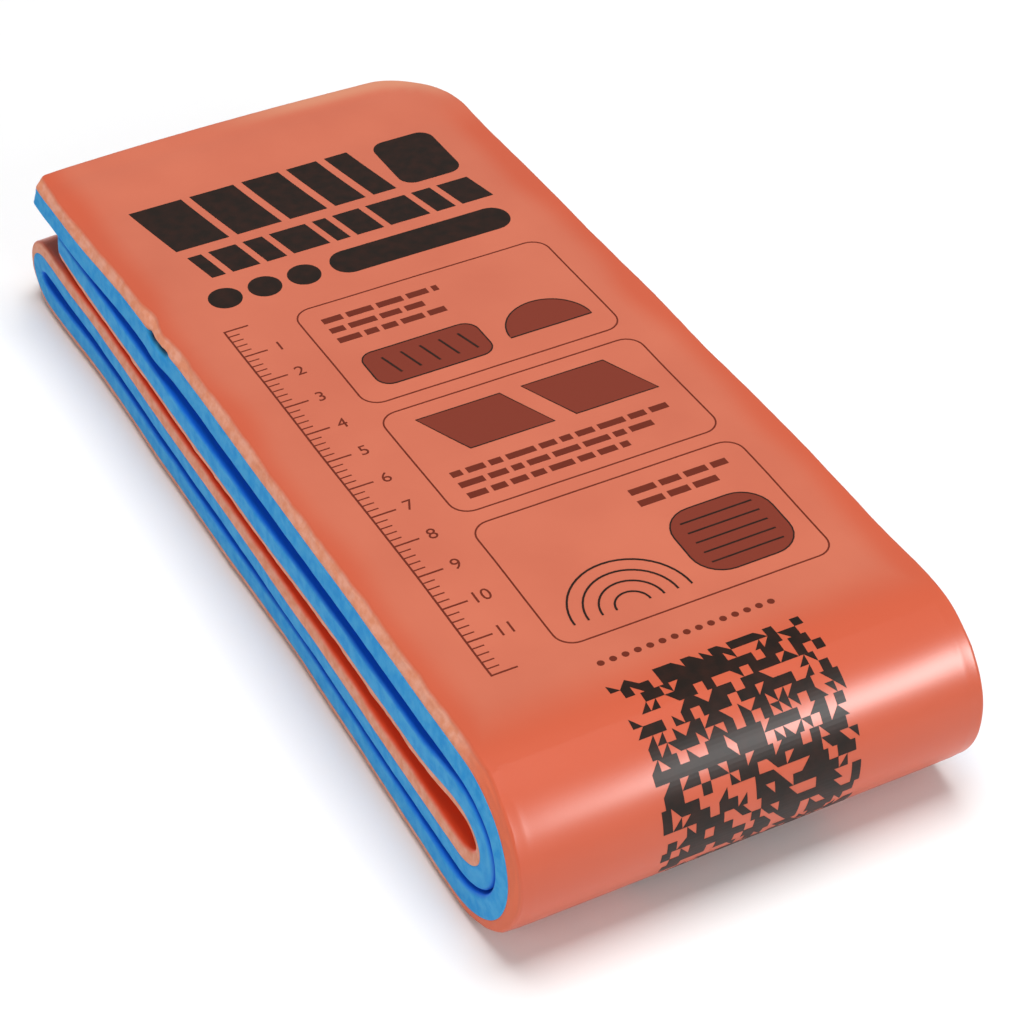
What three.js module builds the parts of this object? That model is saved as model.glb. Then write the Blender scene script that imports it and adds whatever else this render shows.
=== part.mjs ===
// A moldable splint: one padded strip, folded flat into four layers.
// A soft aluminium core runs between an orange foam sheet and a thicker blue foam sheet.
// All three follow one folded path in the YZ plane and are as wide as the strip along X.
// Millimetres, +Z up. The near fold is at -Y, the free end of the top layer at +Y, the floor at Z = 0.
import * as THREE from 'three';

// The strip, laid out flat
const STRIP_LENGTH = 914;
const STRIP_WIDTH = 99.8;
const ORANGE_FOAM = 2.6;
const CORE = 0.4;
const BLUE_FOAM = 4.6;
const CORE_INSET = 4;
const BOND = 0.15;
const POCKET_RAMP = 0.6;
const CLOSED_POCKET = 0.1;

// Corners of the strip seen from above, and how far its cut edges slant inwards, or outwards if negative
const TOP_END_CORNERS = { left: 1.2, right: 18 };
const LOWER_END_CORNERS = { left: 1.5, right: 6 };
const CUT_SLANT = {
  orange: { topLayer: { left: 1.2, right: 0.2 }, otherLayers: 0.4 },
  blue: { topLayer: { left: -0.8, right: -0.8 }, otherLayers: 0.1 },
};
const EDGE_ROUNDING = 0.8;

// How the layers lie on each other, layer 1 on top and layer 4 on the floor.
// The lower layers lie towards -X of the top one: most at the near fold, less from NEAR_DRIFT_REACH,
// a share of the folded length, onwards.
const LAYER_DRIFTS = {
  1: { near: 0, rest: 0 },
  2: { near: 1.2, rest: 0.4 },
  3: { near: 1.9, rest: 0.8 },
  4: { near: 2.4, rest: 0.9 },
};
const NEAR_DRIFT_REACH = 0.4;
const STRETCH_LAYERS = {
  top: [1, 1],
  nearFold: [1, 4],
  bottom: [4, 4],
  farFold: [4, 3],
  third: [3, 3],
  innerFold: [3, 2],
  second: [2, 2],
};

// How far the strip's two ends stop short of the far fold's nose
const TOP_END_SETBACK = 6;
const LOWER_END_SETBACK = 15.7;
const FOLD_CLEARANCE = 0.5;

// Length of each fold over half its height
const FOLD_SLENDERNESS = { near: 1.2, inner: 1.4, far: 1.2 };

// Gaps between the layers: lower, middle and upper lie above the first, second and third from the floor.
// Every gap is at least LAYER_CLEARANCE. The table holds how far it opens from there to its widest,
// at shares of the folded length, 0 at the near fold and 1 at the far end.
const LAYER_CLEARANCE = 0.5;
const WIDEST_GAPS = { lower: 3.8, middle: 6, upper: 3.6 };
const GAP_SHARES = [
  { along: 0.00, lower: 0.05, middle: 1.00, upper: 0.05 },
  { along: 0.09, lower: 0.00, middle: 0.92, upper: 0.06 },
  { along: 0.17, lower: 0.00, middle: 0.47, upper: 0.71 },
  { along: 0.28, lower: 0.05, middle: 0.35, upper: 1.00 },
  { along: 0.50, lower: 0.15, middle: 0.12, upper: 0.89 },
  { along: 0.70, lower: 0.22, middle: 0.03, upper: 0.63 },
  { along: 0.88, lower: 0.40, middle: 0.00, upper: 0.04 },
  { along: 0.95, lower: 0.72, middle: 0.00, upper: 0.00 },
  { along: 1.00, lower: 1.00, middle: 0.05, upper: 0.06 },
];

// Facets
const PANEL_STEPS = 14;
const NEAR_FOLD_STEPS = 22;
const SMALL_FOLD_STEPS = 14;
const CORNER_STEPS = 6;
const QUARTER_HANDLE = 0.5523;

const ORANGE_SIDE = ORANGE_FOAM + BOND + CORE / 2;
const BLUE_SIDE = BLUE_FOAM + BOND + CORE / 2;

function smoothStep(t) {
  return t * t * (3 - 2 * t);
}

// A gap at a share of the folded length, eased between the rows of its table
function gapAt(name, along) {
  const last = GAP_SHARES.length - 1;
  const clamped = THREE.MathUtils.clamp(along, GAP_SHARES[0].along, GAP_SHARES[last].along);
  const row = Math.max(GAP_SHARES.findIndex((entry) => entry.along >= clamped), 1);
  const before = GAP_SHARES[row - 1];
  const after = GAP_SHARES[row];
  const between = (clamped - before.along) / (after.along - before.along);
  const share = THREE.MathUtils.lerp(before[name], after[name], smoothStep(between));
  return THREE.MathUtils.lerp(LAYER_CLEARANCE, WIDEST_GAPS[name], share);
}

// Height of each layer's core line above the floor, layer 4 at the bottom and layer 1 on top
function layerHeight(layer, along) {
  const fourth = ORANGE_SIDE;
  if (layer === 4) return fourth;
  const third = fourth + 2 * BLUE_SIDE + gapAt('lower', along);
  if (layer === 3) return third;
  const second = third + 2 * ORANGE_SIDE + gapAt('middle', along);
  if (layer === 2) return second;
  return second + 2 * BLUE_SIDE + gapAt('upper', along);
}

// A layer's core line between two places along Y
function layerCurve(layer, fromY, toY, foldedLength) {
  const points = [];
  for (let step = 0; step <= PANEL_STEPS; step += 1) {
    const y = THREE.MathUtils.lerp(fromY, toY, step / PANEL_STEPS);
    const along = y / foldedLength + 0.5;
    points.push(new THREE.Vector3(0, y, layerHeight(layer, along)));
  }
  return new THREE.CatmullRomCurve3(points, false, 'chordal');
}

// A fold as two quarter ellipses, from one layer round its nose to another
function foldCurves(start, noseY, end) {
  const nose = new THREE.Vector3(0, noseY, (start.z + end.z) / 2);
  const quarter = (from, to, cornerFrom, cornerTo) => new THREE.CubicBezierCurve3(
    from,
    from.clone().lerp(cornerFrom, QUARTER_HANDLE),
    to.clone().lerp(cornerTo, QUARTER_HANDLE),
    to,
  );
  const first = new THREE.Vector3(0, noseY, start.z);
  const second = new THREE.Vector3(0, noseY, end.z);
  return [quarter(start, nose, first, first), quarter(nose, end, second, second)];
}

// Length of a fold between two layers, at a share of the folded length
function foldReach(upperLayer, lowerLayer, along, slenderness) {
  return slenderness * (layerHeight(upperLayer, along) - layerHeight(lowerLayer, along)) / 2;
}

// The whole core line for one folded length: layers 1, 4, 3 and 2 with the folds between them
function foldedPath(foldedLength) {
  const nearNose = -foldedLength / 2 + ORANGE_SIDE;
  const nearTangent = nearNose + foldReach(1, 4, 0, FOLD_SLENDERNESS.near);
  const innerNose = nearNose + 2 * BLUE_SIDE + FOLD_CLEARANCE;
  const innerTangent = innerNose + foldReach(2, 3, 0, FOLD_SLENDERNESS.inner);
  const farNose = foldedLength / 2 - ORANGE_SIDE;
  const farTangent = farNose - foldReach(3, 4, 1, FOLD_SLENDERNESS.far);
  const topEnd = foldedLength / 2 - TOP_END_SETBACK;
  const lowerEnd = foldedLength / 2 - LOWER_END_SETBACK;

  const top = layerCurve(1, topEnd, nearTangent, foldedLength);
  const bottom = layerCurve(4, nearTangent, farTangent, foldedLength);
  const third = layerCurve(3, farTangent, innerTangent, foldedLength);
  const second = layerCurve(2, innerTangent, lowerEnd, foldedLength);
  const nearFold = foldCurves(top.getPoint(1), nearNose, bottom.getPoint(0));
  const farFold = foldCurves(bottom.getPoint(1), farNose, third.getPoint(0));
  const innerFold = foldCurves(third.getPoint(1), innerNose, second.getPoint(0));
  return [
    { name: 'top', curves: [top], steps: PANEL_STEPS },
    { name: 'nearFold', curves: nearFold, steps: NEAR_FOLD_STEPS / 2 },
    { name: 'bottom', curves: [bottom], steps: PANEL_STEPS },
    { name: 'farFold', curves: farFold, steps: SMALL_FOLD_STEPS / 2 },
    { name: 'third', curves: [third], steps: PANEL_STEPS },
    { name: 'innerFold', curves: innerFold, steps: SMALL_FOLD_STEPS / 2 },
    { name: 'second', curves: [second], steps: PANEL_STEPS },
  ];
}

function pathLength(stretches) {
  let total = 0;
  for (const stretch of stretches) {
    for (const curve of stretch.curves) total += curve.getLength();
  }
  return total;
}

// The folded length that uses up the strip's real length
function fittedPath() {
  let foldedLength = STRIP_LENGTH / 4;
  for (let round = 0; round < 4; round += 1) {
    foldedLength += (STRIP_LENGTH - pathLength(foldedPath(foldedLength))) / 4;
  }
  return { foldedLength, stretches: foldedPath(foldedLength) };
}

function layerDrift(layer, along) {
  const { near, rest } = LAYER_DRIFTS[layer];
  const nearness = THREE.MathUtils.clamp(1 - along / NEAR_DRIFT_REACH, 0, 1);
  return THREE.MathUtils.lerp(rest, near, smoothStep(nearness));
}

// Sideways place of the strip along a stretch, with the whole stack centred on X = 0
function sidewaysOf(name, share, along) {
  const [drift, nextDrift] = STRETCH_LAYERS[name].map((layer) => layerDrift(layer, along));
  const topOverhang = -CUT_SLANT.blue.topLayer.right;
  const centred = (LAYER_DRIFTS[4].near - topOverhang) / 2;
  return centred - THREE.MathUtils.lerp(drift, nextDrift, smoothStep(share));
}

// How much of the top layer's slant a stretch has: all of it on top, fading out round the near fold
function topShareOf(name, share) {
  if (name === 'top') return 1;
  return name === 'nearFold' ? 1 - smoothStep(share) : 0;
}

// Stations along the whole path: place, tangent, distance from the start, sideways shift, top share
function pathStations() {
  const { foldedLength, stretches } = fittedPath();
  const stations = [];
  let travelled = 0;
  for (const { name, curves, steps } of stretches) {
    curves.forEach((curve, index) => {
      const length = curve.getLength();
      for (let step = stations.length ? 1 : 0; step <= steps; step += 1) {
        const share = step / steps;
        const whole = (index + share) / curves.length;
        const point = curve.getPointAt(share);
        stations.push({
          point,
          tangent: curve.getTangentAt(share),
          distance: travelled + length * share,
          shift: sidewaysOf(name, whole, point.y / foldedLength + 0.5),
          topShare: topShareOf(name, whole),
        });
      }
      travelled += length;
    });
  }
  return stations;
}

// A station at any distance from the strip's start, between the two that lie round it
function stationAt(stations, distance) {
  const index = stations.findIndex((entry) => entry.distance >= distance);
  const next = stations[index];
  if (index === 0) return next;
  const before = stations[index - 1];
  const share = (distance - before.distance) / (next.distance - before.distance);
  return {
    point: before.point.clone().lerp(next.point, share),
    tangent: before.tangent.clone().lerp(next.tangent, share).normalize(),
    distance,
    shift: THREE.MathUtils.lerp(before.shift, next.shift, share),
    topShare: THREE.MathUtils.lerp(before.topShare, next.topShare, share),
  };
}

// Distances from one end of the strip at which its corners and the core's pocket need a station
function endDistances(corners) {
  const radius = Math.max(...Object.values(corners));
  const distances = [CORE_INSET - BOND - POCKET_RAMP, CORE_INSET - BOND, CORE_INSET];
  for (let step = 1; step <= CORNER_STEPS; step += 1) {
    const distance = radius * (1 - Math.cos((Math.PI / 2) * (step / CORNER_STEPS)));
    if (distances.every((other) => Math.abs(other - distance) > BOND)) distances.push(distance);
  }
  return distances;
}

function withEndStations(stations) {
  const total = stations[stations.length - 1].distance;
  const distances = [
    ...endDistances(TOP_END_CORNERS),
    ...endDistances(LOWER_END_CORNERS).map((distance) => total - distance),
  ];
  const added = distances.map((distance) => stationAt(stations, distance));
  return [...stations, ...added].sort((first, second) => first.distance - second.distance);
}

// How far a rounded corner pulls the side in, at a distance from the strip's end
function cornerInset(radius, distance) {
  if (distance >= radius) return 0;
  return radius - Math.sqrt(radius ** 2 - (radius - distance) ** 2);
}

// Both edges along X at a station, of the strip itself or of an outline set inside it
function edgesAt(station, total, inset) {
  const fromTop = Math.max(station.distance - inset, 0);
  const fromLower = Math.max(total - station.distance - inset, 0);
  const pull = (side) => Math.max(
    cornerInset(Math.max(TOP_END_CORNERS[side] - inset, 0), fromTop),
    cornerInset(Math.max(LOWER_END_CORNERS[side] - inset, 0), fromLower),
  );
  const half = STRIP_WIDTH / 2 - inset;
  return { left: station.shift - half + pull('left'), right: station.shift + half - pull('right') };
}

// Half the height of the core's pocket, which closes outside the core's two ends
function pocketHeight(station, total) {
  const fromEnd = Math.min(station.distance, total - station.distance);
  const open = (fromEnd - CORE_INSET + BOND + POCKET_RAMP) / POCKET_RAMP;
  return THREE.MathUtils.lerp(CLOSED_POCKET, BOND + CORE / 2, THREE.MathUtils.clamp(open, 0, 1));
}

// Cross-sections as (x, height) pairs, counter-clockwise seen against the direction of travel
function foamSection(station, total, side, thickness, slants) {
  const rim = CORE_INSET - BOND;
  const edges = edgesAt(station, total, 0);
  const inner = edgesAt(station, total, rim);
  const recess = {
    left: Math.max(inner.left, edges.left + rim),
    right: Math.min(inner.right, edges.right - rim),
  };
  const pocket = pocketHeight(station, total);
  const face = BOND + CORE / 2 + thickness;
  const pulls = (edge) => {
    const slant = THREE.MathUtils.lerp(slants.otherLayers, slants.topLayer[edge], station.topShare);
    return [
      [0, BOND / 2],
      [slant, face - EDGE_ROUNDING],
      [slant + EDGE_ROUNDING, face],
    ];
  };
  const outline = [
    [recess.left, pocket],
    [recess.left, BOND / 2],
    ...pulls('left').map(([pull, height]) => [edges.left + pull, height]),
    ...pulls('right').map(([pull, height]) => [edges.right - pull, height]).reverse(),
    [recess.right, BOND / 2],
    [recess.right, pocket],
  ];
  const signed = outline.map(([x, height]) => [x, height * side]);
  return side > 0 ? signed.reverse() : signed;
}

function coreSection(edges) {
  return [
    [edges.left, -CORE / 2],
    [edges.right, -CORE / 2],
    [edges.right, CORE / 2],
    [edges.left, CORE / 2],
  ];
}

// Sweeps a changing section along the stations and closes both ends
function sweptBody(stations, sectionAt) {
  const rings = stations.map((station) => {
    const { point, tangent } = station;
    const normal = new THREE.Vector3(0, tangent.z, -tangent.y);
    return sectionAt(station).map(([x, height]) => (
      new THREE.Vector3(x, point.y, point.z).addScaledVector(normal, height)));
  });
  const around = rings[0].length;
  const positions = rings.flat().flatMap((corner) => [corner.x, corner.y, corner.z]);
  const triangles = [];
  for (let ring = 0; ring + 1 < rings.length; ring += 1) {
    for (let corner = 0; corner < around; corner += 1) {
      const next = (corner + 1) % around;
      const here = ring * around;
      const there = here + around;
      triangles.push(here + corner, here + next, there + next);
      triangles.push(here + corner, there + next, there + corner);
    }
  }
  const flat = sectionAt(stations[0]).map(([x, height]) => new THREE.Vector2(x, height));
  const last = (rings.length - 1) * around;
  for (const [a, b, c] of THREE.ShapeUtils.triangulateShape(flat, [])) {
    triangles.push(a, c, b);
    triangles.push(last + a, last + b, last + c);
  }
  const geometry = new THREE.BufferGeometry();
  geometry.setAttribute('position', new THREE.Float32BufferAttribute(positions, 3));
  geometry.setIndex(triangles);
  geometry.computeVertexNormals();
  return geometry;
}

function namedMesh(name, geometry, look) {
  const mesh = new THREE.Mesh(geometry, new THREE.MeshStandardMaterial(look));
  mesh.name = name;
  return mesh;
}

function orangeFoam(stations, total) {
  const geometry = sweptBody(stations, (station) => (
    foamSection(station, total, 1, ORANGE_FOAM, CUT_SLANT.orange)));
  return namedMesh('orange_foam', geometry, { color: 0xde7450, roughness: 0.55, metalness: 0 });
}

function blueFoam(stations, total) {
  const geometry = sweptBody(stations, (station) => (
    foamSection(station, total, -1, BLUE_FOAM, CUT_SLANT.blue)));
  return namedMesh('blue_foam', geometry, { color: 0x338fcb, roughness: 0.6, metalness: 0 });
}

function aluminiumCore(stations, total) {
  const held = stations.filter(({ distance }) => (
    distance >= CORE_INSET && distance <= total - CORE_INSET));
  const geometry = sweptBody(held, (station) => coreSection(edgesAt(station, total, CORE_INSET)));
  return namedMesh('aluminium_core', geometry, { color: 0xb8bcc0, roughness: 0.35, metalness: 1 });
}

const stations = withEndStations(pathStations());
const total = stations[stations.length - 1].distance;
const splint = new THREE.Group();
splint.name = 'moldable_splint';
splint.add(orangeFoam(stations, total), blueFoam(stations, total), aluminiumCore(stations, total));

export default splint;
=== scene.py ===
import math

import bpy
import bmesh
import numpy as np
from mathutils import Matrix, Vector


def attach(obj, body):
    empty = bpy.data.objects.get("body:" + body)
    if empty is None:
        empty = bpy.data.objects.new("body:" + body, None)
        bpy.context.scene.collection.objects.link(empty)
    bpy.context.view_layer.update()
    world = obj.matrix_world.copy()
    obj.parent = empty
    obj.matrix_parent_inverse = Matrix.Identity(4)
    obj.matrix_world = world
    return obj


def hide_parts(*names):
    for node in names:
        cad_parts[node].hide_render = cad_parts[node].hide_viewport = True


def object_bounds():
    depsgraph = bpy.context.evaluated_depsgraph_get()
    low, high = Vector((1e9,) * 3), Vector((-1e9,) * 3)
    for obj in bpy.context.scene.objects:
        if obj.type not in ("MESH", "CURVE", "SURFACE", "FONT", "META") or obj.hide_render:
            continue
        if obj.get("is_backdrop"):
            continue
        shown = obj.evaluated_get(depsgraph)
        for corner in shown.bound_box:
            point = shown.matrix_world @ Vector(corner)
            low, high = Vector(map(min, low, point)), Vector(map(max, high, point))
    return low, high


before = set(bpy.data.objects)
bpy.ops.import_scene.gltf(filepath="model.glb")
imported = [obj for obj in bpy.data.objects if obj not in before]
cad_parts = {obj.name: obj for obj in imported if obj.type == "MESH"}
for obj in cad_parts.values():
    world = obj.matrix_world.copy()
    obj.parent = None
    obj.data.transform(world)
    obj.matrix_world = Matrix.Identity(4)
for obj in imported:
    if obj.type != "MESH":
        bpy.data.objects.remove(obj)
cad_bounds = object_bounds()
bpy.ops.object.select_all(action="DESELECT")

MM = 0.001

# The strip and the way it is folded, in millimetres, as in the part's solids
STRIP_LENGTH = 914.0
STRIP_WIDTH = 99.8
ORANGE_FOAM = 2.6
BLUE_FOAM = 4.6
CORE = 0.4
BOND = 0.15
CORE_INSET = 4.0
ORANGE_SIDE = ORANGE_FOAM + BOND + CORE / 2
BLUE_SIDE = BLUE_FOAM + BOND + CORE / 2
TOP_END_CORNERS = (1.2, 18.0)
LOWER_END_CORNERS = (1.5, 6.0)
LAYER_DRIFTS = {1: (0.0, 0.0), 2: (1.2, 0.4), 3: (1.9, 0.8), 4: (2.4, 0.9)}
NEAR_DRIFT_REACH = 0.4
TOP_OVERHANG = 0.8
TOP_END_SETBACK = 6.0
LOWER_END_SETBACK = 15.7
FOLD_CLEARANCE = 0.5
SLENDERNESS = {"near": 1.2, "inner": 1.4, "far": 1.2}
LAYER_CLEARANCE = 0.5
WIDEST_GAPS = {"lower": 3.8, "middle": 6.0, "upper": 3.6}
GAP_PLACES = (0.00, 0.09, 0.17, 0.28, 0.50, 0.70, 0.88, 0.95, 1.00)
GAP_SHARES = {
    "lower": (0.05, 0.00, 0.00, 0.05, 0.15, 0.22, 0.40, 0.72, 1.00),
    "middle": (1.00, 0.92, 0.47, 0.35, 0.12, 0.03, 0.00, 0.00, 0.05),
    "upper": (0.05, 0.06, 0.71, 1.00, 0.89, 0.63, 0.04, 0.00, 0.06),
}
STRETCHES = (
    ("top", 1, 1), ("near_fold", 1, 4), ("bottom", 4, 4), ("far_fold", 4, 3),
    ("third", 3, 3), ("inner_fold", 3, 2), ("second", 2, 2),
)
QUARTER_HANDLE = 0.5523
FOLD_SAMPLES = 121
PANEL_SAMPLES = 900
LENGTH_ROUNDS = 6

# What the real strip adds to the plain solids, in millimetres
HALF_WIDTH = STRIP_WIDTH / 2
END_BOW = 1.3
END_BOW_REACH = 12.0
FAR_SWELL = 1.4
FAR_SWELL_REACH = 30.0
FAR_BULGE = 0.8
SEAM_HALF_GAP = 0.012
END_RIM = 0.35
POCKET_PLAY = 0.05
POCKET_EASE = 0.8
# How far the faces drop at the cut edges and the ends, and over what distance
ORANGE_EDGE_DROP, ORANGE_EDGE_REACH = 0.28, 3.2
ORANGE_END_DROP, ORANGE_END_REACH = 0.22, 1.6
BLUE_EDGE_DROP, BLUE_EDGE_REACH = 0.22, 2.6
# The ridge that the core's edge raises on the near bend, and how the bend's look eases out
RIDGE_HEIGHT, RIDGE_INSET, RIDGE_WIDTH = 0.04, 0.6, 0.8
BEND_LEAD, BEND_EASE = 6.0, 14.0
# Left cut edge: distances from the free end, and how far out the knife went there
CUT_PLACES = (0.0, 25.0, 50.0, 78.0, 110.0, 150.0, 195.0, 225.0)
CUT_WANDER = (1.0, -0.1, -0.95, -1.25, -0.85, -0.35, -0.1, 0.0)
# The nick in the left cut edge. Its slots: offset, depth, half width, half width of the painted
# shadow
NICK = 66.5
NICK_SLOTS = ((-3.0, 1.7, 1.7, 1.8), (1.8, 2.1, 2.3, 2.4))
NICK_CORE_REACH = 2.9


def smooth(t):
    t = np.clip(t, 0.0, 1.0)
    return t * t * (3.0 - 2.0 * t)


def gap_at(name, along):
    """A gap between two layers at a share of the folded length, eased between its places."""
    along = np.clip(along, 0.0, 1.0)
    row = np.clip(np.searchsorted(GAP_PLACES, along), 1, len(GAP_PLACES) - 1)
    places = np.array(GAP_PLACES)
    shares = np.array(GAP_SHARES[name])
    between = smooth((along - places[row - 1]) / (places[row] - places[row - 1]))
    share = shares[row - 1] + (shares[row] - shares[row - 1]) * between
    return LAYER_CLEARANCE + (WIDEST_GAPS[name] - LAYER_CLEARANCE) * share


def layer_height(layer, along):
    along = np.asarray(along, float)
    height = np.full_like(along, ORANGE_SIDE)
    if layer <= 3:
        height = height + 2 * BLUE_SIDE + gap_at("lower", along)
    if layer <= 2:
        height = height + 2 * ORANGE_SIDE + gap_at("middle", along)
    if layer == 1:
        height = height + 2 * BLUE_SIDE + gap_at("upper", along)
    return height


def layer_drift(layer, along):
    near, rest = LAYER_DRIFTS[layer]
    return rest + (near - rest) * smooth(1.0 - along / NEAR_DRIFT_REACH)


def fold_points(start, nose_y, end):
    """Two quarter ellipses from one layer round the fold's nose to another."""
    t = np.linspace(0.0, 1.0, FOLD_SAMPLES)[:, None]
    nose = np.array([nose_y, (start[1] + end[1]) / 2])

    def quarter(p0, p3, corner0, corner3):
        p1 = p0 + (corner0 - p0) * QUARTER_HANDLE
        p2 = p3 + (corner3 - p3) * QUARTER_HANDLE
        return ((1 - t) ** 3 * p0 + 3 * (1 - t) ** 2 * t * p1
                + 3 * (1 - t) * t ** 2 * p2 + t ** 3 * p3)

    first = np.array([nose_y, start[1]])
    second = np.array([nose_y, end[1]])
    return np.concatenate([
        quarter(start, nose, first, first)[:-1], quarter(nose, end, second, second),
    ])


def stretches_for(folded):
    """The core line as (y, z) points, stretch by stretch, for one folded length."""
    def reach(upper, lower, along, slenderness):
        return float(slenderness * (layer_height(upper, along) - layer_height(lower, along)) / 2)

    near_nose = -folded / 2 + ORANGE_SIDE
    near = near_nose + reach(1, 4, 0.0, SLENDERNESS["near"])
    inner_nose = near_nose + 2 * BLUE_SIDE + FOLD_CLEARANCE
    inner = inner_nose + reach(2, 3, 0.0, SLENDERNESS["inner"])
    far_nose = folded / 2 - ORANGE_SIDE
    far = far_nose - reach(3, 4, 1.0, SLENDERNESS["far"])

    def panel(layer, start, end):
        y = np.linspace(start, end, PANEL_SAMPLES)
        return np.stack([y, layer_height(layer, y / folded + 0.5)], -1)

    top = panel(1, folded / 2 - TOP_END_SETBACK, near)
    bottom = panel(4, near, far)
    third = panel(3, far, inner)
    second = panel(2, inner, folded / 2 - LOWER_END_SETBACK)
    return [
        top, fold_points(top[-1], near_nose, bottom[0]),
        bottom, fold_points(bottom[-1], far_nose, third[0]),
        third, fold_points(third[-1], inner_nose, second[0]),
        second,
    ]


def length_of(points):
    return np.hypot(*np.diff(points, axis=0).T).sum()


def trace_path():
    """Arrays of distance, place, direction, sideways drift and top share along the whole strip."""
    folded = STRIP_LENGTH / 4
    for _ in range(LENGTH_ROUNDS):
        folded += (STRIP_LENGTH - sum(length_of(p) for p in stretches_for(folded))) / 4
    rows = []
    starts = {}
    travelled = 0.0
    for (name, upper, lower), points in zip(STRETCHES, stretches_for(folded)):
        steps = np.hypot(*np.diff(points, axis=0).T)
        along = np.concatenate([[0.0], np.cumsum(steps)])
        ease = smooth(along / along[-1])
        share = points[:, 0] / folded + 0.5
        drift = layer_drift(upper, share) * (1 - ease) + layer_drift(lower, share) * ease
        shift = (LAYER_DRIFTS[4][0] - TOP_OVERHANG) / 2 - drift
        top = {"top": np.ones_like(ease), "near_fold": 1 - ease}.get(name, np.zeros_like(ease))
        rows.append(np.stack([along + travelled, points[:, 0], points[:, 1], shift, top], -1))
        starts[name] = travelled
        travelled += along[-1]
    table = np.concatenate(rows)
    keep = np.concatenate([[True], np.diff(table[:, 0]) > 1e-6])
    table = table[keep]
    direction = np.gradient(table[:, 1:3], table[:, 0], axis=0)
    direction /= np.hypot(*direction.T)[:, None]
    starts["end"] = travelled
    return table, direction, starts


PATH, DIRECTION, START = trace_path()


def along_path(s):
    """Place, unit direction, sideways drift and top share at distances from the free end."""
    y, z, shift, top = (np.interp(s, PATH[:, 0], PATH[:, column]) for column in (1, 2, 3, 4))
    ty, tz = (np.interp(s, PATH[:, 0], DIRECTION[:, column]) for column in (0, 1))
    size = np.hypot(ty, tz)
    before = np.minimum(s, 0.0) / size
    return y + before * ty, z + before * tz, ty / size, tz / size, shift, top


def end_bow(x):
    """How far the top layer's free end bows out, most in the middle."""
    return END_BOW * (1.0 - (x / HALF_WIDTH) ** 2)


def fold_up(x, s, n):
    """Takes a point of the flat strip (across, along, out of the orange) to its folded place."""
    bowed = end_bow(x) * np.clip(1.0 - s / END_BOW_REACH, 0.0, 1.0)
    y, z, ty, tz, shift, _ = along_path(s - bowed)
    swell = FAR_SWELL * far_bend(s)
    return np.stack([x + shift, y + swell + n * tz, z - n * ty], -1) * MM


def far_bend(s):
    """1 on the far fold, easing out over the two layers beside it."""
    start, end = START["far_fold"], START["third"]
    rise = smooth((s - start + FAR_SWELL_REACH) / FAR_SWELL_REACH)
    return rise * smooth((end + FAR_SWELL_REACH - s) / FAR_SWELL_REACH)


# Seeded noise, and the uneven edges and faces of the flat strip

def value_noise(x, seed, period=4096):
    table = np.random.RandomState(seed).uniform(-1.0, 1.0, period)
    cell = np.floor(x).astype(int)
    t = smooth(x - cell)
    return table[cell % period] * (1 - t) + table[(cell + 1) % period] * t


def value_noise_2d(x, y, seed, period=257):
    table = np.random.RandomState(seed).uniform(-1.0, 1.0, (period, period))
    i, j = np.floor(x).astype(int), np.floor(y).astype(int)
    u, v = smooth(x - i), smooth(y - j)
    i, j = i % period, j % period
    k, m = (i + 1) % period, (j + 1) % period
    low = table[i, j] * (1 - u) + table[k, j] * u
    high = table[i, m] * (1 - u) + table[k, m] * u
    return low * (1 - v) + high * v


def bump_at(value, centre, half_width):
    return np.exp(-((value - centre) / half_width) ** 2)


def corner_pull(side, s):
    """How far the rounded corners at the strip's two ends pull one side in."""
    def pull(radius, distance):
        d = np.clip(distance, 0.0, radius)
        return radius - np.sqrt(radius ** 2 - (radius - d) ** 2)
    lower = pull(LOWER_END_CORNERS[side], STRIP_LENGTH - s)
    return np.maximum(pull(TOP_END_CORNERS[side], s), lower)


def cut_wave(side, s):
    """The knife's own wander along a cut edge, the same for both foams: outwards if positive."""
    seed = 11 + side
    wave = 0.16 * value_noise(s / 31.0, seed) + 0.07 * value_noise(s / 9.0, seed + 20)
    if side == 0:
        wave = wave + np.interp(s, CUT_PLACES, CUT_WANDER)
        return wave + 0.65 * bump_at(s, NICK, 6.0) + FAR_BULGE * far_bend(s)
    return 0.5 * wave - 0.2


def near_bend(s):
    """1 on the near fold, 0 on the flat layers."""
    start, end = START["near_fold"], START["bottom"]
    rise = smooth((s - start + BEND_LEAD) / BEND_EASE)
    return rise * smooth((end + BEND_LEAD - s) / BEND_EASE)


def orange_face(x, s):
    """Height of the orange face above the core line: wavy, lower at the edges and both ends."""
    side = np.minimum(x + HALF_WIDTH, HALF_WIDTH - x)
    from_end = np.minimum(s, STRIP_LENGTH - s)
    n = ORANGE_SIDE - 0.02
    n = n - ORANGE_EDGE_DROP * np.exp(-np.clip(side, 0, None) / ORANGE_EDGE_REACH)
    n = n - ORANGE_END_DROP * np.exp(-np.clip(from_end, 0, None) / ORANGE_END_REACH)
    n = n + 0.07 * value_noise_2d(x / 23.0 + 40, s / 27.0, 3)
    n = n + 0.03 * value_noise_2d(x / 9.0 + 40, s / 8.0, 5)
    ridge = bump_at(side, CORE_INSET - RIDGE_INSET, RIDGE_WIDTH)
    return n + RIDGE_HEIGHT * near_bend(s) * ridge


def blue_face(x, s):
    """Depth of the blue face below the core line."""
    side = np.minimum(x + HALF_WIDTH, HALF_WIDTH - x)
    n = BLUE_SIDE - 0.03 - BLUE_EDGE_DROP * np.exp(-np.clip(side, 0, None) / BLUE_EDGE_REACH)
    return n + 0.05 * value_noise_2d(x / 19.0 + 40, s / 22.0, 7)


FLAT_STEP = 1.0
FOLD_STEP = 0.5
LEAST_STEP = 0.09
END_STATIONS = (0.0, 0.12, 0.3, 0.55, 0.9, 1.3, 1.8, 2.5, 3.4)


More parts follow.
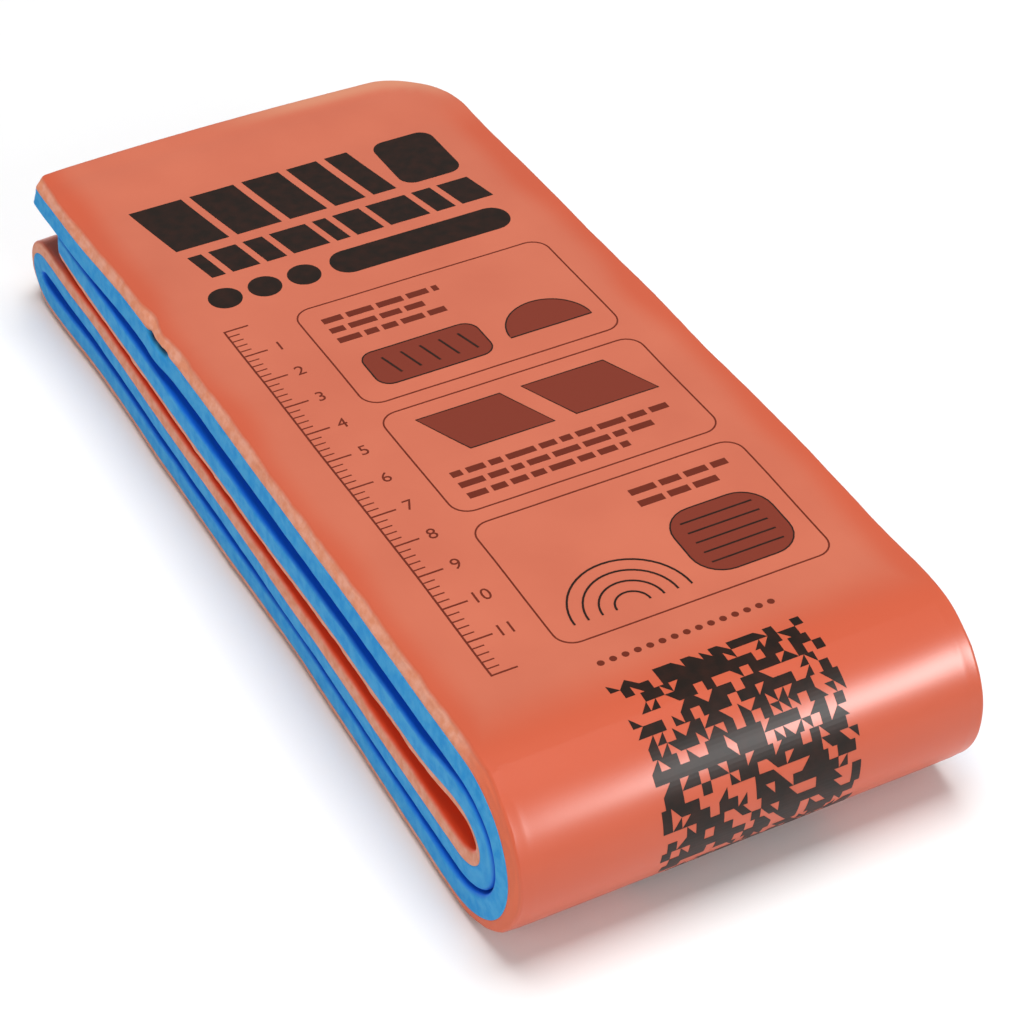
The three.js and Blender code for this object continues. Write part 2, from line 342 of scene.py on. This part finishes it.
def strip_stations():
    """Distances along the strip: closer in the folds, closest at the two ends."""
    s = [np.arange(2.0, STRIP_LENGTH - 1.0, FLAT_STEP)]
    for name, after in (("near_fold", "bottom"), ("far_fold", "third"), ("inner_fold", "second")):
        s.append(np.arange(START[name] - 3, START[after] + 3, FOLD_STEP))
    ends = np.array(END_STATIONS)
    s += [ends, STRIP_LENGTH - ends]
    s = np.unique(np.round(np.concatenate(s), 2))
    keep = [s[0]]
    for value in s[1:]:
        if value - keep[-1] > LEAST_STEP:
            keep.append(value)
    return np.array(keep)


STATIONS = strip_stations()
CUT_SHARES = (0.0, 0.14, 0.28, 0.42, 0.56, 0.70, 0.83, 0.93)
ROUND_STEPS = 5
FACE_PLACES = (
    1.3, 2.1, 3.1, 3.6, 4.0, 4.4, 5.2, 6.6, 8.6, 11.5, 15.5, 19.5, 24, 28.5, 33, 37.5, 42, 46.5,
)
EDGE_ROUND = 0.75


def end_round(s, amount):
    """Sections shrink a little at the very ends, so that the end cuts have soft rims."""
    d = np.clip(np.minimum(s, STRIP_LENGTH - s), 0.0, amount)
    return amount - np.sqrt(amount ** 2 - (amount - d) ** 2)


def nick_depth(side, s):
    """Two short slots in the left cut edge, along the parting line, where the metal shows."""
    slots = sum(deep * bump_at(s, NICK + offset, width) for offset, deep, width, _ in NICK_SLOTS)
    return (side == 0) * slots


def core_reach(side, s):
    """How far in from the strip's edge the core's edge lies: nearly at the cut in the nick."""
    return CORE_INSET - (side == 0) * NICK_CORE_REACH * bump_at(s, NICK, 4.2)


def folded_columns(columns, s):
    """The folded points and the flat places of a section's columns, station by station."""
    points = np.stack([fold_up(x, s, n) for x, n in columns], 1).reshape(-1, 3)
    flat = np.stack([np.stack([x, s, n], -1) for x, n in columns], 1).reshape(-1, 3)
    return points, flat


def quad_corners(count, around):
    """Four index arrays for the quads between neighbouring stations of a closed section."""
    ring = np.arange(count - 1)[:, None] * around
    here = np.arange(around)[None, :]
    after = (here + 1) % around
    return ring + here, ring + after, ring + around + after, ring + around + here


def foam_body(name, sign, face, slant_top, slant_rest, tear, seed):
    """One foam sheet as a closed mesh, with the rough slanted cut edges that a knife leaves."""
    s = STATIONS
    count = len(s)
    _, _, _, _, _, top = along_path(s)
    rim = end_round(s, END_RIM)
    columns = []
    cuts = []

    def add(x, n, cut):
        columns.append((x, n * sign))
        cuts.append(np.full(count, cut) if np.isscalar(cut) else cut)

    def edge_side(side):
        """Points from the parting line up the cut, round its rim and onto the face."""
        out = -1.0 if side == 0 else 1.0
        pull = corner_pull(side, s)
        edge = HALF_WIDTH - pull + cut_wave(side, s)
        slant = slant_rest + (slant_top[side] - slant_rest) * top
        if side == 0 and sign > 0:
            slant = slant + 0.9 * bump_at(s, NICK - 5.0, 4.0)
        slant = slant + tear * (0.5 + 0.5 * top) * (1.0 if side == 0 else 0.35) * (
            0.55 * value_noise(s / 5.5, seed + side) + 0.30 * value_noise(s / 2.2, seed + 30 + side)
            + 0.35 * value_noise(s / 14.0, seed + 60 + side))
        places = []
        rim_x = edge - slant
        rim_n = face(out * (rim_x - EDGE_ROUND), s) - rim
        for share in CUT_SHARES:
            across = np.full(count, share * 6.0 + 3 * side)
            rough = (share > 0.0) * 0.11 * value_noise_2d(s / 1.6 + 9, across, seed + 5)
            rough = rough - nick_depth(side, s) * max(0.0, 1.0 - share / 0.3)
            x = edge - slant * share ** 1.25 + rough
            n = SEAM_HALF_GAP + (rim_n - EDGE_ROUND) * share / CUT_SHARES[-1]
            places.append((x, n, 1.0))
        for step in range(1, ROUND_STEPS + 1):
            angle = math.pi / 2 * step / ROUND_STEPS
            x = rim_x - EDGE_ROUND * (1 - math.cos(angle))
            n = rim_n - EDGE_ROUND * (1 - math.sin(angle))
            places.append((x, n, max(0.0, 1.0 - 1.25 * step / ROUND_STEPS)))
        for place in FACE_PLACES:
            x = np.minimum(HALF_WIDTH - place, rim_x - EDGE_ROUND - 0.12 * place)
            n = face(out * x, s) - rim
            if place < 4:
                n = rim_n + (n - rim_n) * smooth((place - 1.0) / 3.0)
            places.append((x, n, 0.0))
        return [(out * x, n, cut) for x, n, cut in places]

    left = edge_side(0)
    right = edge_side(1)
    centre = face(np.zeros(count), s) - rim
    for x, n, cut in left:
        add(x, n, cut)
    add(np.zeros(count), centre, 0.0)
    for x, n, cut in reversed(right):
        add(x, n, cut)
    inner = CORE_INSET - BOND
    pocket = CORE / 2 + POCKET_PLAY
    from_end = np.minimum(s, STRIP_LENGTH - s)
    seam = np.full(count, SEAM_HALF_GAP)
    opened = smooth((from_end - inner + POCKET_EASE) / POCKET_EASE)
    depth = SEAM_HALF_GAP + (pocket - SEAM_HALF_GAP) * opened
    for out, n in ((1, seam), (1, depth), (-1, depth), (-1, seam)):
        side = 0 if out < 0 else 1
        inset = np.minimum(corner_pull(side, s) + (core_reach(side, s) - BOND), HALF_WIDTH - 2)
        add(out * (HALF_WIDTH - inset + np.minimum(cut_wave(side, s), 0.0)), n, 1.0)

    around = len(columns)
    points, flat = folded_columns(columns, s)
    quads = np.stack(quad_corners(count, around), -1).reshape(-1, 4)
    if sign > 0:
        quads = quads[:, ::-1]
    mesh = bpy.data.meshes.new(name)
    faces = quads.tolist() + end_caps(around, (count - 1) * around, sign)
    mesh.from_pydata(points.tolist(), [], faces)
    mesh.validate()
    give(mesh, "cut", np.stack(cuts, 1).reshape(-1))
    give(mesh, "flat", flat * MM)
    # deep: painted shade, darker and redder skin along the edges and round the near bend
    give(mesh, "deep", deep_share(flat[:, 0], flat[:, 1]))
    # pale: a painted highlight, a paler band along the far end
    give(mesh, "pale", pale_share(flat[:, 0], flat[:, 1]))
    # painted bounced light: the inner layers' skin turns a deeper red inside the folds
    give(mesh, "painted_bounce_red", smooth((flat[:, 1] - START["third"] - 6.0) / 12.0))
    give(mesh, "bend", near_bend(flat[:, 1]))
    # seam: painted shadow in the nick's slots
    give(mesh, "seam", seam_share(*flat.T))
    return finish_piece(name, mesh)


def seam_share(x, s, n):
    """Painted shadow in the slot at the nick, just below the parting line."""
    slots = sum(bump_at(s, NICK + offset, dark) for offset, _, _, dark in NICK_SLOTS)
    return np.clip(slots, 0.0, 1.0) * (x < 0) * (n < 0.2) * (n > -0.9)


def deep_share(x, s):
    """Painted shade: where the skin is painted deeper, along the edges and round the bend."""
    side = HALF_WIDTH - np.abs(x)
    edges = 0.75 * smooth((9.0 - side + 1.5 * value_noise(s / 17.0, 31)) / 7.0)
    edges = edges * np.where(x > 0, smooth((s - 8.0) / 22.0), 1.0)
    return np.clip(np.maximum(edges, 0.8 * near_bend(s + 4.0)), 0.0, 1.0)


def pale_share(x, s):
    """A painted highlight: a paler band along the far end, widest at its rounded corner."""
    radius = TOP_END_CORNERS[1]
    across = np.clip(x - HALF_WIDTH + radius, 0.0, None)
    from_outline = radius - np.hypot(across, np.clip(radius - s, 0.0, None))
    band = smooth((5.0 - from_outline - 0.3 * end_bow(x)) / 3.6)
    return 0.75 * band * smooth((x + 12.0) / 30.0) * smooth((15.0 - s) / 11.0)


def end_caps(around, last, sign):
    """Closes both end cuts, each with one face round the whole section."""
    faces = []
    for offset, turn in ((0, sign > 0), (last, sign < 0)):
        ids = list(range(offset, offset + around))
        faces.append(ids if turn else ids[::-1])
    return faces


def give(mesh, name, values):
    """Stores one number or one vector per point as a named attribute."""
    kind, field = ("FLOAT", "value") if values.ndim == 1 else ("FLOAT_VECTOR", "vector")
    layer = mesh.attributes.new(name, kind, "POINT")
    layer.data.foreach_set(field, values.astype(np.float32).reshape(-1))


def placed(name, data):
    made = bpy.data.objects.new(name, data)
    bpy.context.collection.objects.link(made)
    return made


def finish_piece(name, mesh):
    piece = placed(name, mesh)
    mesh.shade_smooth()
    return piece


# Materials

def linear(code):
    """sRGB hex to the linear colour that a shader takes."""
    parts = [int(code[i:i + 2], 16) / 255 for i in (1, 3, 5)]
    lit = [c / 12.92 if c <= 0.04045 else ((c + 0.055) / 1.055) ** 2.4 for c in parts]
    return (*lit, 1.0)


def new_material(name):
    material = bpy.data.materials.new(name)
    material.use_nodes = True
    tree = material.node_tree
    tree.nodes.clear()
    return material, tree


def node(tree, kind, inputs=None, **settings):
    """Adds a node, sets its settings, then its sockets: a value is set, a socket is linked."""
    made = tree.nodes.new(kind)
    for key, value in settings.items():
        setattr(made, key, value)
    for key, value in (inputs or {}).items():
        if isinstance(value, bpy.types.NodeSocket):
            tree.links.new(value, made.inputs[key])
        else:
            made.inputs[key].default_value = value
    return made


def mix_colour(tree, factor, first, second):
    made = node(tree, "ShaderNodeMix", {0: factor, 6: first, 7: second}, data_type="RGBA")
    return made.outputs[2]


def noise(tree, vector, size, detail=2.0, rough=0.5):
    """Noise whose features are about size millimetres across."""
    return node(tree, "ShaderNodeTexNoise", {
        "Vector": vector, "Scale": 1.0 / (size * MM), "Detail": detail, "Roughness": rough,
    }).outputs["Fac"]


def range_of(tree, value, low, high, to_low=0.0, to_high=1.0):
    return node(tree, "ShaderNodeMapRange", {
        "Value": value, "From Min": low, "From Max": high, "To Min": to_low, "To Max": to_high,
    }).outputs["Result"]


def attribute(tree, name, output="Fac"):
    return node(tree, "ShaderNodeAttribute", attribute_name=name).outputs[output]


def orange_material():
    """Satin orange skin with painted shade towards the edges and the bend, painted bounced red on
    the inner layers, a painted highlight along the far end, and paler, rough cut edges.
    """
    material, tree = new_material("orange closed-cell foam")
    flat = attribute(tree, "flat", "Vector")
    cut = attribute(tree, "cut")
    clouds = range_of(tree, noise(tree, flat, 22.0, 3.0), 0.32, 0.68)
    skin = mix_colour(tree, clouds, linear("#C4684F"), linear("#CA6E54"))
    # Painted shade: deeper, redder skin along the edges and round the bend
    skin = mix_colour(tree, attribute(tree, "deep"), skin, linear("#C55436"))
    # Painted highlight: a paler band along the far end
    skin = mix_colour(tree, attribute(tree, "pale"), skin, linear("#CE8E70"))
    # Painted bounced light: a deeper red on the inner layers inside the folds
    skin = mix_colour(tree, attribute(tree, "painted_bounce_red"), skin, linear("#EE5632"))
    patches = range_of(tree, noise(tree, flat, 2.6, 2.5, 0.6), 0.38, 0.62)
    cut_colour = mix_colour(tree, patches, linear("#DE8C6A"), linear("#E49F86"))
    cut_colour = mix_colour(tree, attribute(tree, "bend"), cut_colour, linear("#DA6C4C"))
    colour = mix_colour(tree, cut, skin, cut_colour)
    finish_foam(tree, colour, flat, cut, 0.33)
    return material


def blue_material():
    """Bright blue foam: the cut is finely mottled, with painted shadow in the nick's slots, and the
    skin inside the folds is deeper.
    """
    material, tree = new_material("blue closed-cell foam")
    flat = attribute(tree, "flat", "Vector")
    cut = attribute(tree, "cut")
    mottle = range_of(tree, noise(tree, flat, 2.8, 2.5, 0.55), 0.36, 0.64)
    cut_colour = mix_colour(tree, mottle, linear("#1D92D6"), linear("#3EA2DA"))
    # Painted shadow: the cut goes near-black in the nick's slots
    cut_colour = mix_colour(tree, attribute(tree, "seam"), cut_colour, linear("#0A1226"))
    colour = mix_colour(tree, cut, linear("#086CDE"), cut_colour)
    finish_foam(tree, colour, flat, cut, 0.55)
    return material


def finish_foam(tree, colour, flat, cut, gloss):
    """The shared shader: cells of half a millimetre on the cut, a fine even grain on the skin."""
    cells = node(tree, "ShaderNodeTexVoronoi", {
        "Vector": flat, "Scale": 1.0 / (0.5 * MM),
    }, feature="F1")
    grain = noise(tree, flat, 0.45, 2.0)
    height = node(tree, "ShaderNodeMix", {
        0: cut, 2: grain, 3: cells.outputs["Distance"],
    }, data_type="FLOAT").outputs[0]
    strength = range_of(tree, cut, 0.0, 1.0, 0.04, 0.16)
    bump = node(tree, "ShaderNodeBump", {
        "Height": height, "Strength": strength, "Distance": 0.12 * MM,
    })
    roughness = range_of(tree, cut, 0.0, 1.0, gloss, 0.8)
    shader = node(tree, "ShaderNodeBsdfPrincipled", {
        "Base Color": colour, "Roughness": roughness, "Normal": bump.outputs["Normal"], "IOR": 1.45,
    })
    node(tree, "ShaderNodeOutputMaterial", {"Surface": shader.outputs[0]})


def metal_material(name):
    """Soft rolled aluminium sheet: fine rolling lines along the strip."""
    material, tree = new_material(name)
    flat = attribute(tree, "flat", "Vector")
    stretched = node(tree, "ShaderNodeVectorMath", {
        0: flat, 1: (1.0, 0.02, 1.0),
    }, operation="MULTIPLY")
    lines = noise(tree, stretched.outputs[0], 0.25, 3.0)
    bump = node(tree, "ShaderNodeBump", {"Height": lines, "Strength": 0.25, "Distance": 0.03 * MM})
    shader = node(tree, "ShaderNodeBsdfPrincipled", {
        "Base Color": linear("#C9CCD0"), "Metallic": 1.0, "Roughness": 0.32,
        "Normal": bump.outputs["Normal"],
    })
    node(tree, "ShaderNodeOutputMaterial", {"Surface": shader.outputs[0]})
    return material


ORANGE = orange_material()
BLUE = blue_material()
METAL = metal_material("soft rolled aluminium")


def core_sheet():
    """The metal core as a thin closed sheet, set in from every edge."""
    s = STATIONS[(STATIONS >= CORE_INSET) & (STATIONS <= STRIP_LENGTH - CORE_INSET)]
    s = np.unique(np.concatenate([[CORE_INSET], s, [STRIP_LENGTH - CORE_INSET]]))
    lefts = -HALF_WIDTH + core_reach(0, s) + corner_pull(0, s) - np.minimum(cut_wave(0, s), 0.0)
    rights = HALF_WIDTH - core_reach(1, s) - corner_pull(1, s)
    columns = []
    for share, n in ((0.0, -CORE / 2), (1.0, -CORE / 2), (1.0, CORE / 2), (0.0, CORE / 2)):
        columns.append((lefts + (rights - lefts) * share, np.full(len(s), n)))
    around = len(columns)
    points, flat = folded_columns(columns, s)
    low, low_after, high_after, high = quad_corners(len(s), around)
    quads = np.stack([low, high, high_after, low_after], -1).reshape(-1, 4)
    last = (len(s) - 1) * around
    faces = quads.tolist() + [[3, 2, 1, 0], [last, last + 1, last + 2, last + 3]]
    mesh = bpy.data.meshes.new("core_sheet")
    mesh.from_pydata(points.tolist(), [], faces)
    give(mesh, "flat", flat * MM)
    return finish_piece("core_sheet", mesh)


orange = foam_body("orange_foam_sheet", 1, orange_face,
                   slant_top=(1.1, 0.1), slant_rest=0.45, tear=0.36, seed=101)
blue = foam_body("blue_foam_sheet", -1, blue_face,
                 slant_top=(-0.7, -0.7), slant_rest=0.1, tear=0.10, seed=201)
core = core_sheet()
for piece, material, cad_node, slot in (
    (orange, ORANGE, "orange_foam", "orange_foam"),
    (blue, BLUE, "blue_foam", "blue_foam"),
    (core, METAL, "aluminium_core", "core_metal"),
):
    piece.data.materials.append(material)
    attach(piece, "root")
    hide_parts(cad_node)


# The flat-ink marking: bars, a ruler, boxes with plain shapes, dots and a mosaic

INK_LIFT = 0.05
STROKE_LIFT = INK_LIFT + 0.04
INK_THICK = 0.035
HEADER_WIDTHS = (12.5, 10.6, 9.0, 7.4, 5.6)
BLOCK_WIDTHS = (3.2, 6.4, 4.6, 8.6, 3.2, 6.4, 9.6, 4.6, 7.6)
RULER_LENGTH = 120
BOX_ROWS = ((74.0, 111.0), (115.0, 151.0), (155.0, 193.0))
MOSAIC_CELL = 1.95
MOSAIC_ROWS, MOSAIC_COLUMNS = 28, 21


def block(x0, s0, x1, s1, lean=0.0):
    """A bar in the strip's flat frame, leaning towards +X on the way down."""
    return [(x0, s0), (x1, s0), (x1 + lean, s1), (x0 + lean, s1)]


def arc(x, s, radius, start, sweep, steps):
    angles = np.radians(start + sweep * np.arange(steps + 1) / steps)
    return [(x + radius * math.cos(a), s + radius * math.sin(a)) for a in angles]


def rounded(x0, s0, x1, s1, radius):
    points = []
    for cx, cs, start in ((x1 - radius, s0 + radius, -90), (x1 - radius, s1 - radius, 0),
                          (x0 + radius, s1 - radius, 90), (x0 + radius, s0 + radius, 180)):
        points += arc(cx, cs, radius, start, 90, 7)
    return points


def disc(x, s, radius, steps=28):
    return arc(x, s, radius, 0, 360, steps)[:-1]


def half_disc(x, s, radius):
    return arc(x, s, radius, 180, 180, 24)


def line_along(points, width, closed=True):
    """Quads of an even line along a closed or open run of points."""
    points = [Vector(p) for p in points]
    count = len(points)
    last = count if closed else count - 1
    sides = []
    for i, point in enumerate(points):
        before = points[(i - 1) % count] if closed or i else point
        after = points[(i + 1) % count] if closed or i < count - 1 else point
        along = (after - before).normalized()
        out = Vector((along.y, -along.x)) * (width / 2)
        sides.append((tuple(point + out), tuple(point - out)))
    quads = []
    for i in range(last):
        here, after = sides[i], sides[(i + 1) % count]
        quads.append([here[0], after[0], after[1], here[1]])
    return quads


def numeral(text, x, s, size):
    """A plain number as flat polygons, centred at a place."""
    curve = bpy.data.curves.new("numeral", "FONT")
    curve.body = text
    curve.size = size
    curve.align_x = "CENTER"
    curve.align_y = "CENTER"
    curve.resolution_u = 3
    holder = placed("numeral", curve)
    graph = bpy.context.evaluated_depsgraph_get()
    mesh = bpy.data.meshes.new_from_object(holder.evaluated_get(graph))
    place = [(x + v.co.x, s - v.co.y) for v in mesh.vertices]
    faces = [[place[i] for i in polygon.vertices] for polygon in mesh.polygons]
    bpy.data.objects.remove(holder)
    bpy.data.meshes.remove(mesh)
    bpy.data.curves.remove(curve)
    return faces


def turned_right(polygon):
    """The polygon in the order that faces out of the orange foam once it is laid on it."""
    area = sum(a[0] * b[1] - b[0] * a[1] for a, b in zip(polygon, polygon[1:] + polygon[:1]))
    return polygon if area < 0 else polygon[::-1]


def cut_lines(low, high):
    """Places at which flat ink is cut, so that it can follow the foam: closest round the bend."""
    bend = START["near_fold"] - 4
    on_flat = np.arange(math.floor(low / 3) * 3, min(high, bend), 3.0)
    on_bend = np.arange(max(low, bend), high, 0.75)
    lines = [((0, value, 0), (0, 1, 0)) for value in (*on_flat, *on_bend)]
    return lines + [((value, 0, 0), (1, 0, 0)) for value in np.arange(-48.0, 49.0, 4.0)]


def lay_ink(name, polygons, material, lift=INK_LIFT):
    """Cuts flat polygons fine enough to follow the foam and lays them on it with a little body."""
    bm = bmesh.new()
    for polygon in polygons:
        bm.faces.new([bm.verts.new((x, s, 0.0)) for x, s in turned_right(polygon)])
    bmesh.ops.remove_doubles(bm, verts=bm.verts, dist=0.001)
    along = [v.co.y for v in bm.verts]
    for place, normal in cut_lines(min(along), max(along)):
        geometry = bm.verts[:] + bm.edges[:] + bm.faces[:]
        bmesh.ops.bisect_plane(
            bm, geom=geometry, dist=0.0005, plane_co=place, plane_no=normal)
    flat = np.array([tuple(v.co) for v in bm.verts])
    count = len(flat)
    solid = []
    for face in bm.faces:
        corners = [v.index for v in face.verts]
        solid += [corners, [i + count for i in reversed(corners)]]
        for loop in face.loops:
            if len(loop.edge.link_faces) == 1:
                a, b = loop.vert.index, loop.link_loop_next.vert.index
                solid.append([b, a, a + count, b + count])
    bm.free()
    x, s = flat[:, 0], flat[:, 1]
    top = orange_face(x, s) + lift
    points = np.concatenate([fold_up(x, s, top), fold_up(x, s, top - INK_THICK)])
    mesh = bpy.data.meshes.new(name)
    mesh.from_pydata(points.tolist(), [], solid)
    mesh.validate()
    give(mesh, "flat", np.concatenate([flat, flat]) * MM)
    mesh.materials.append(material)
    piece = placed(name, mesh)
    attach(piece, "root")


def header_bars():
    """Bold leaning bars, a row of blocks, and three dots before a round-ended bar."""
    polygons = []
    x = -37.0
    for width in HEADER_WIDTHS:
        polygons.append(block(x, 22.0, x + width, 41.0, 3.4))
        x += width + 2.0
    polygons.append(rounded(x + 3.6, 22.0, 36.5, 41.0, 3.4))
    for index, width in enumerate(BLOCK_WIDTHS):
        start = -32.5 + sum(BLOCK_WIDTHS[:index]) + 1.7 * index
        polygons.append(block(start, 44.4, start + width, 54.0, 1.7))
    for index in range(3):
        polygons.append(disc(-31.4 + 9.2 * index, 62.2, 3.7))
    polygons.append(rounded(-6.6, 58.0, 36.4, 66.4, 4.15))
    return polygons


def ruler():
    """A centimetre scale down the left side, with its numbers."""
    start, edge = 73.5, -36.4
    polygons = [block(edge - 0.4, start - 0.2, edge, start + RULER_LENGTH + 0.2)]
    for tick in range(0, RULER_LENGTH + 1, 2):
        reach, thick = (5.2, 0.40) if tick % 10 == 0 else (2.4, 0.30)
        middle = start + tick
        polygons.append(block(edge, middle - thick / 2, edge + reach, middle + thick / 2))
    for number in range(1, 12):
        polygons += numeral(str(number), -28.4, start + 10 * number, 4.4)
    return polygons


def text_like_rows(x, s, lengths, pitch, height):
    """Rows of short dashes of uneven length."""
    dice = np.random.RandomState(int(10 * s))
    polygons = []
    for row, length in enumerate(lengths):
        place = x
        while place < x + length:
            dash = dice.uniform(2.2, 6.5)
            end = min(place + dash, x + length)
            polygons.append(block(place, s + pitch * row, end, s + pitch * row + height))
            place = end + 1.1
    return polygons


def boxes():
    """Three thin-lined boxes with rows of dashes in them."""
    polygons = []
    for top, bottom in BOX_ROWS:
        polygons += line_along(rounded(-21.5, top, 38.0, bottom, 4.0), 0.36)
    polygons += text_like_rows(-17.0, 79.0, (27.0, 22.0, 25.0), 3.9, 1.9)
    polygons += text_like_rows(-17.0, 138.2, (49.0, 44.0, 36.0), 3.7, 1.8)
    polygons += text_like_rows(11.0, 159.6, (22.0, 18.0), 3.7, 1.8)
    return polygons


def tint_shapes():
    """The plain filled shapes in the boxes."""
    return [
        half_disc(24.5, 104.0, 9.6),
        rounded(-16.0, 94.5, 10.5, 106.5, 3.2),
        block(-15.0, 119.5, 4.0, 133.0, 5.5),
        block(9.0, 119.5, 28.0, 133.0, 5.5),
        rounded(12.0, 169.5, 34.0, 188.5, 6.5),
    ]


def box_drawing_lines():
    """Outlines and shading strokes of the tinted shapes, and three nested arcs."""
    polygons = []
    for shape in tint_shapes():
        polygons += line_along(shape, 0.30)
    for radius in (3.6, 6.6, 9.6, 12.6):
        polygons += line_along(arc(-4.0, 188.5, radius, 180, 180, 24), 0.42, closed=False)
    for index in range(5):
        polygons.append(block(-12.0 + 4.4 * index, 97.3, -11.5 + 4.4 * index, 103.7, 1.6))
        polygons.append(block(15.0, 172.8 + 3.0 * index, 31.0, 173.2 + 3.0 * index))
    return polygons


def caption_dots():
    return [disc(-17.5 + 2.6 * i, 200.0, 0.75, 12) for i in range(15)]


def mosaic():
    """Squares and right triangles in a staggered grid, wrapping round the bend."""
    dice = np.random.RandomState(47)
    cell = MOSAIC_CELL
    polygons = []
    for row in range(MOSAIC_ROWS):
        for column in range(MOSAIC_COLUMNS):
            kind = dice.randint(0, 10)
            x = -20.0 + cell * column + (0.5 * cell if row % 4 > 1 else 0.0)
            s = 206.0 + cell * row
            a, b, c, d = (x, s), (x + cell, s), (x + cell, s + cell), (x, s + cell)
            if kind < 5:
                polygons.append([a, b, c, d])
            elif kind < 8:
                polygons.append([[a, b, c], [b, c, d], [a, c, d]][kind - 5])
    return polygons


def ink_material(name, colour):
    """Flat screen ink, a little uneven, with less shine than the foam's skin."""
    material, tree = new_material(name)
    flat = attribute(tree, "flat", "Vector")
    uneven = range_of(tree, noise(tree, flat, 3.0, 2.0), 0.35, 0.7, 0.0, 0.07)
    base = mix_colour(tree, uneven, linear(colour), linear("#7A3A2A"))
    shader = node(tree, "ShaderNodeBsdfPrincipled", {
        "Base Color": base, "Roughness": 0.4, "IOR": 1.4, "Specular IOR Level": 0.3,
    })
    node(tree, "ShaderNodeOutputMaterial", {"Surface": shader.outputs[0]})
    return material


DARK_INK = ink_material("dark screen ink", "#231B17")
LINE_INK = ink_material("thin screen ink lines", "#6A2A1C")
TINT_INK = ink_material("half-tone screen ink", "#7C3527")
lay_ink("ink_header", header_bars(), DARK_INK)
lay_ink("ink_mosaic", mosaic(), DARK_INK)
lay_ink("ink_ruler", ruler(), LINE_INK)
lay_ink("ink_boxes", boxes() + caption_dots(), LINE_INK)
lay_ink("ink_tints", tint_shapes(), TINT_INK)
lay_ink("ink_drawing_lines", box_drawing_lines(), DARK_INK, STROKE_LIFT)


# Floor, light and camera, in metres and watts

CAMERA_PLACE = (-0.222331, -0.436524, 0.415762)
CAMERA_RIGHT = (0.88314, -0.469085, 0.004736)
CAMERA_FORWARD = (0.36106, 0.67325, -0.645268)
CAMERA_LENS_MM = 106.59
WORLD_STRENGTH = 0.25
# Name, place, target, sides, power, direction of the first side
SOFTBOXES = (
    ("softbox_over", (0.10, 0.0, 1.2), (0, 0, 0), (0.75, 0.75), 13.2, (1, 0, 0)),
    ("softbox_left", (-0.95, -0.45, 0.55), (0, 0, 0), (0.6, 0.6), 2.0, (0, 0, 1)),
    ("softbox_front", (0.20, -1.15, 0.45), (0, -0.1, 0), (0.7, 0.7), 4.9, (1, 0, 0)),
)
STRIPLIGHT = ("striplight", (0.67, -0.93, 0.84), (0, -0.11, 0.03), (0.50, 0.17), 17.0,
              (0.26, 0.28, 0.28))


def stage_floor():
    bpy.ops.mesh.primitive_plane_add(size=6.0, location=(0.0, 0.0, 0.0))
    floor = bpy.context.object
    floor.name = "studio_floor"
    material, tree = new_material("plain pale floor")
    shader = node(tree, "ShaderNodeBsdfPrincipled", {
        "Base Color": linear("#F6F6F6"), "Roughness": 0.9,
    })
    node(tree, "ShaderNodeOutputMaterial", {"Surface": shader.outputs[0]})
    floor.data.materials.append(material)
    floor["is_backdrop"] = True


def soft_light(name, place, target, size, power, along):
    """A rectangular softbox whose first side lies along a given direction."""
    data = bpy.data.lights.new(name, "AREA")
    data.shape = "RECTANGLE"
    data.size, data.size_y = size
    data.energy = power
    lamp = placed(name, data)
    back = (Vector(place) - Vector(target)).normalized()
    first = Vector(along) - back * back.dot(Vector(along))
    first.normalize()
    turn = Matrix((first, back.cross(first), back)).transposed().to_4x4()
    lamp.matrix_world = Matrix.Translation(Vector(place)) @ turn
    return lamp


def studio():
    """Three softboxes that light without a reflection, and a striplight that is only reflected."""
    world = bpy.data.worlds.new("pale studio")
    world.use_nodes = True
    background = world.node_tree.nodes["Background"]
    background.inputs["Color"].default_value = (1.0, 1.0, 1.0, 1.0)
    background.inputs["Strength"].default_value = WORLD_STRENGTH
    bpy.context.scene.world = world
    bpy.context.scene.view_settings.view_transform = "Standard"
    for settings in SOFTBOXES:
        soft_light(*settings).visible_glossy = False
    soft_light(*STRIPLIGHT).visible_diffuse = False


def photo_camera():
    """Long lens, from the front left and above, as in the photograph."""
    right = Vector(CAMERA_RIGHT).normalized()
    forward = Vector(CAMERA_FORWARD).normalized()
    up = right.cross(forward)
    data = bpy.data.cameras.new("photo_camera")
    data.lens = CAMERA_LENS_MM
    data.sensor_width = 36.0
    data.clip_start = 0.02
    camera = placed("photo_camera", data)
    turn = Matrix((right, up, -forward)).transposed().to_4x4()
    camera.matrix_world = Matrix.Translation(Vector(CAMERA_PLACE)) @ turn
    bpy.context.scene.camera = camera


stage_floor()
studio()
photo_camera()

boxes = {"cad": cad_bounds, "visual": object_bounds()}
